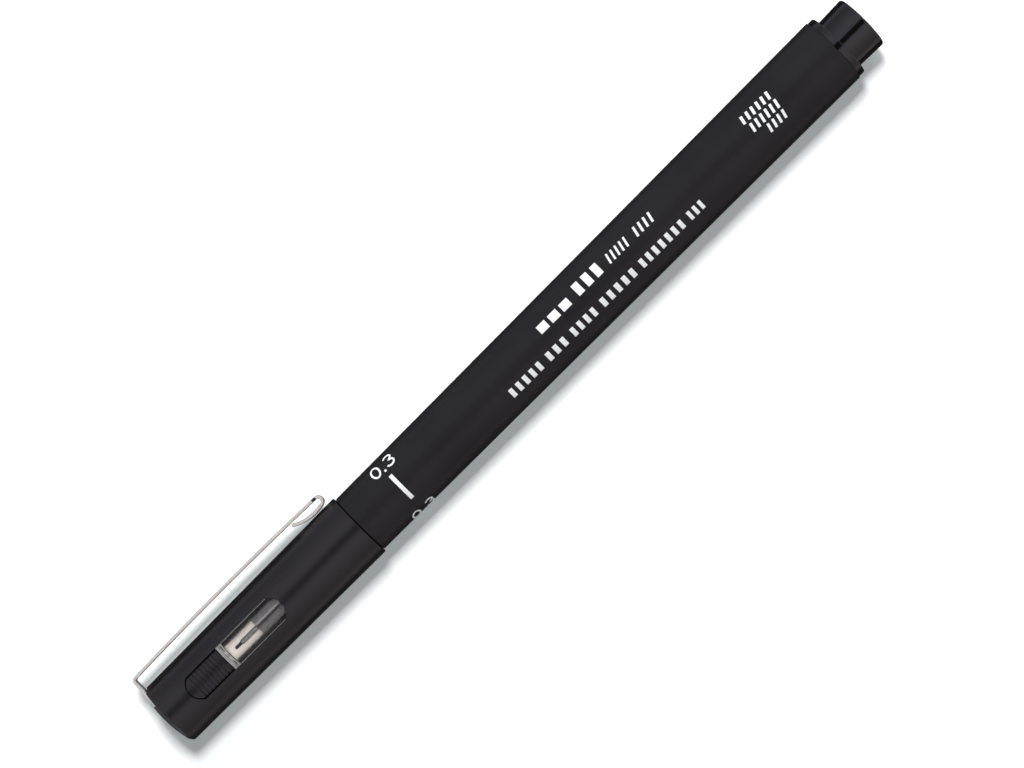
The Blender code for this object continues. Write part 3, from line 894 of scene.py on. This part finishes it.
def make_size_marks(material):
    """The line width, printed three times round the front of the barrel with bars between."""
    points, faces = [], []
    height = 2.3
    stroke = 0.3
    for turn in range(3):
        middle = (FIRST_NUMBER + MARK_SPACING * turn) * math.pi / 180 * barrel_radius(MARKS_AT)
        zero = (middle, MARKS_AT + 1.27)
        add_stroke(points, faces, ellipse(zero, height / 2 - stroke / 2, 0.65, 0, 360)[:-1], stroke, True)
        dot = (middle + height / 2 - stroke / 2, MARKS_AT)
        add_stroke(points, faces, straight((dot[0] - 0.17, dot[1]), (dot[0] + 0.17, dot[1])), 0.34)
        upper = (middle - height / 4 + 0.03, MARKS_AT - 1.26)
        lower = (middle + height / 4 - 0.08, MARKS_AT - 1.29)
        top = ellipse(upper, 0.46, 0.6, 160, -90, 20)
        bottom = ellipse(lower, 0.5, 0.65, 90, -160, 20)
        add_stroke(points, faces, top + bottom[1:], stroke)
        bar = (FIRST_BAR + MARK_SPACING * turn) * math.pi / 180 * barrel_radius(MARKS_AT)
        half = BAR_HALF_ANGLE * math.pi / 180 * barrel_radius(MARKS_AT)
        add_stroke(points, faces, straight((bar - half, MARKS_AT), (bar + half, MARKS_AT), 24), 0.6)
    return finish_piece(mesh_object("size_marks", points, faces), "pen", "white_print", material)


def make_word_marks(material):
    """Plain blocks in place of the maker's wording: rows of (length, letters) words."""
    rows = [  # start, middle, height, slant, ink share, gap, words
        (63.45, -1.42, 1.33, 0.0, 0.72, 0.9, ((6.6, 3),)),
        (56.0, -1.8, 2.0, 0.0, 0.6, 0.9, ((5.5, 3),)),
        (49.7, -1.7, 1.55, 0.35, 0.38, 0.75, ((4.55, 5), (4.2, 4))),
        (72.45, 2.25, 1.5, 0.0, 0.52, 0.62, ((6.55, 5), (4.3, 3), (5.2, 4), (7.15, 5), (8.9, 7), (3.2, 3))),
        (22.8, -2.1, 1.3, 0.3, 0.44, 0.7, ((6.2, 6),)),
        (22.5, -0.35, 1.35, 0.3, 0.44, 0.7, ((5.95, 6),)),
        (20.8, 1.4, 1.35, 0.3, 0.44, 0.7, ((4.0, 4),)),
    ]
    points, faces = [], []
    for start, middle, height, slant, share, gap, words in rows:
        z = start
        for length, letters in words:
            pitch = (length - slant) / letters
            for letter in range(letters):
                centre = z - slant / 2 - pitch * (letter + 0.5)
                top = (middle - height / 2, centre - slant / 2)
                bottom = (middle + height / 2, centre + slant / 2)
                add_stroke(points, faces, straight(top, bottom), pitch * share)
            z -= length + gap
    return finish_piece(mesh_object("word_marks", points, faces), "pen", "white_print", material)


# ---------------------------------------------------------------- stage


def make_floor():
    """A pale floor with a faint glow of its own, which the pen's gloss does not mirror."""
    made, _, _, shader = new_material("pale_floor")
    shader.inputs["Base Color"].default_value = (0.82, 0.82, 0.82, 1)
    shader.inputs["Roughness"].default_value = 0.9
    shader.inputs["Specular IOR Level"].default_value = 0.0
    shader.inputs["Emission Color"].default_value = (0.88, 0.97, 1.0, 1)
    shader.inputs["Emission Strength"].default_value = 0.28
    floor = box("floor", (-1.5, -1.5, -0.01), (1.5, 1.5, 0.0))
    floor.data.materials.append(made)
    floor.visible_glossy = False
    floor.visible_shadow = False


def softbox(name, near, far, distance, along, length, radiance):
    """An area light from near to far degrees off the vertical, away from the clip, unseen in gloss."""
    middle = math.radians((near + far) / 2)
    width = 2 * distance * math.tan(math.radians(abs(far - near) / 2))
    data = bpy.data.lights.new(name, "AREA")
    data.shape = "RECTANGLE"
    data.size = length
    data.size_y = width
    data.energy = radiance * math.pi * length * width
    light = bpy.data.objects.new(name, data)
    bpy.context.scene.collection.objects.link(light)
    light.location = (along, distance * math.sin(middle), distance * math.cos(middle))
    light.rotation_euler = (-middle, 0.0, 0.0)
    light.visible_glossy = False
    light.visible_transmission = False
    return light


def make_world():
    """What the gloss mirrors: dark overhead, bright on both sides and at both ends, dark below."""
    world = bpy.data.worlds.new("studio")
    world.use_nodes = True
    nodes, links = world.node_tree.nodes, world.node_tree.links
    x, y, z = split_coordinates(nodes, links, "Generated")
    side = maths(nodes, links, "ABSOLUTE", y)
    lean = maths(nodes, links, "ARCTAN2", side, z)
    ramp = nodes.new("ShaderNodeValToRGB")
    stops = ramp.color_ramp.elements
    stops[0].position = 8 / 180
    stops[1].position = 122 / 180
    for stop in stops:
        stop.color = (WORLD_DARK, WORLD_DARK, WORLD_DARK, 1)
    # Degrees off the vertical, and how bright it is there
    for degrees, bright in ((13, 0.97), (34, 1.0), (50, 0.8), (68, 0.6), (88, 0.42), (110, 0.58)):
        stops.new(degrees / 180).color = (bright, bright, bright, 1)
    links.new(maths(nodes, links, "DIVIDE", lean, math.pi), ramp.inputs["Fac"])
    ends = smooth_step(nodes, links, maths(nodes, links, "ABSOLUTE", x), 0.45, 0.8)
    end_level = maths(nodes, links, "MULTIPLY", ends, 0.7)
    level = maths(nodes, links, "MAXIMUM", ramp.outputs["Color"], end_level)
    tint = nodes.new("ShaderNodeValToRGB")
    tint.color_ramp.elements[0].color = (0.93, 0.89, 1.09, 1)
    tint.color_ramp.elements[1].color = (1.14, 1.0, 1.02, 1)
    links.new(y, tint.inputs["Fac"])
    background = nodes["Background"]
    links.new(tint.outputs["Color"], background.inputs["Color"])
    links.new(maths(nodes, links, "MULTIPLY", level, 1.05), background.inputs["Strength"])
    world.cycles_visibility.diffuse = False
    bpy.context.scene.world = world


def link_light(light, pieces, state):
    """Makes a light reach only some pieces, or all but those."""
    receivers = bpy.data.collections.new(light.name + "_receivers")
    for piece in pieces:
        receivers.objects.link(piece)
    light.light_linking.receiver_collection = receivers
    for item in receivers.collection_objects:
        item.light_linking.link_state = state


def make_lights(inside_cap):
    """A key light that sets the shadow, two weak fills, and a lamp for what shows in the cap's window."""
    key = softbox("key", -13.2, -25.4, 1.3, -0.25, 0.25, 76.0)
    link_light(key, inside_cap, "EXCLUDE")
    softbox("clip_side_fill", -29.0, -80.0, 1.2, -0.8, 1.5, 2.0)
    softbox("far_side_fill", 20.0, 75.0, 1.2, -0.6, 1.4, 0.5)
    lamp = softbox("window_lamp", -16.0, 16.0, 1.2, 0.0, 0.8, 7.6)
    link_light(lamp, inside_cap, "INCLUDE")


def make_camera():
    """Straight above the pen, which lies across the picture from lower left to upper right."""
    roll = math.radians(45.03)
    height = 0.64
    data = bpy.data.cameras.new("camera")
    data.lens = 159.7
    data.sensor_width = 36.0
    data.clip_start = 0.01
    camera = bpy.data.objects.new("camera", data)
    bpy.context.scene.collection.objects.link(camera)
    right = Vector((-math.cos(roll), math.sin(roll), 0.0))
    up = Vector((-math.sin(roll), -math.cos(roll), 0.0))
    turn = Matrix((right, up, Vector((0, 0, 1)))).transposed().to_4x4()
    aim_x = tail_low.x + 71.03 * MM
    aim_y = AXIS_Y + 1.19 * MM
    camera.matrix_world = Matrix.Translation((aim_x, aim_y, AXIS_Z + height)) @ turn
    bpy.context.scene.camera = camera


def main():
    bpy.context.scene.view_settings.view_transform = "Standard"
    make_camera()
    make_world()
    make_floor()

    dark, light = (0.0085, 0.008, 0.009), (0.011, 0.0105, 0.0115)
    satin = plastic("satin_black", dark, light, 0.38, 0.46, 0.2, 12000, 0.25)
    dark, light = (0.007, 0.0065, 0.0075), (0.009, 0.0085, 0.0095)
    cap = plastic("satin_cap", dark, light, 0.25, 0.31, 0.34, 12000, 0.15)
    dark, light = (0.0018, 0.0018, 0.0018), (0.0026, 0.0026, 0.0026)
    gloss = plastic("gloss_black", dark, light, 0.06, 0.1, 0.5, 3000, 0.02)
    clear = clear_plastic("clear_plastic")
    rolled = steel("rolled_steel", (0.98, 0.97, 0.8), 0.38, 0.48, (0.04, 1, 1), 0.15)
    # Dark steel painted on the clip's notches as their shade
    painted_notch_shade = steel("steel_painted_notch_shade", (0.1, 0.1, 0.11), 0.25, 0.4, (0.04, 1, 1), 0.1)
    drawn = steel("drawn_steel", (0.5, 0.52, 0.5), 0.24, 0.28, (0.2, 1, 1), 0.01, 0.85)
    # The tip sleeve's steel, with a painted dark reflection line along its top
    painted_reflection_steel = steel("steel_painted_reflection", (0.45, 0.47, 0.46), 0.26, 0.3, (0.2, 1, 1), 0.01, 0.8, 0.00028)
    fibres = fibre("white_fibre", (0.7, 0.69, 0.66), (0.85, 0.84, 0.82))
    inked = plastic("inked_nib", (0.006, 0.006, 0.01), (0.01, 0.01, 0.016), 0.4, 0.6, 0.3, 9000, 0.2)
    wrap = film("wrap_film")
    white = ink_print("white_print")

    make_barrel(satin)
    make_end_plug(gloss)
    make_front_section(satin)
    sleeve = make_tip_sleeve(painted_reflection_steel)
    tube = make_nib_tube(drawn)
    nib = make_nib(inked)
    make_cap_shell(cap)
    make_cap_core(cap)
    make_pad(-1, cap)
    make_pad(1, cap)
    liner = make_cap_liner(clear)
    make_clip_root(rolled)
    make_clip_arm(rolled, painted_notch_shade)
    make_size_marks(white)
    make_word_marks(white)
    make_lights((sleeve, tube, nib, liner))
    for name, material in (("relay_wick", fibres), ("reservoir_core", fibres), ("reservoir_wrap", wrap)):
        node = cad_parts[name]
        node.data.materials.clear()
        node.data.materials.append(material)


main()
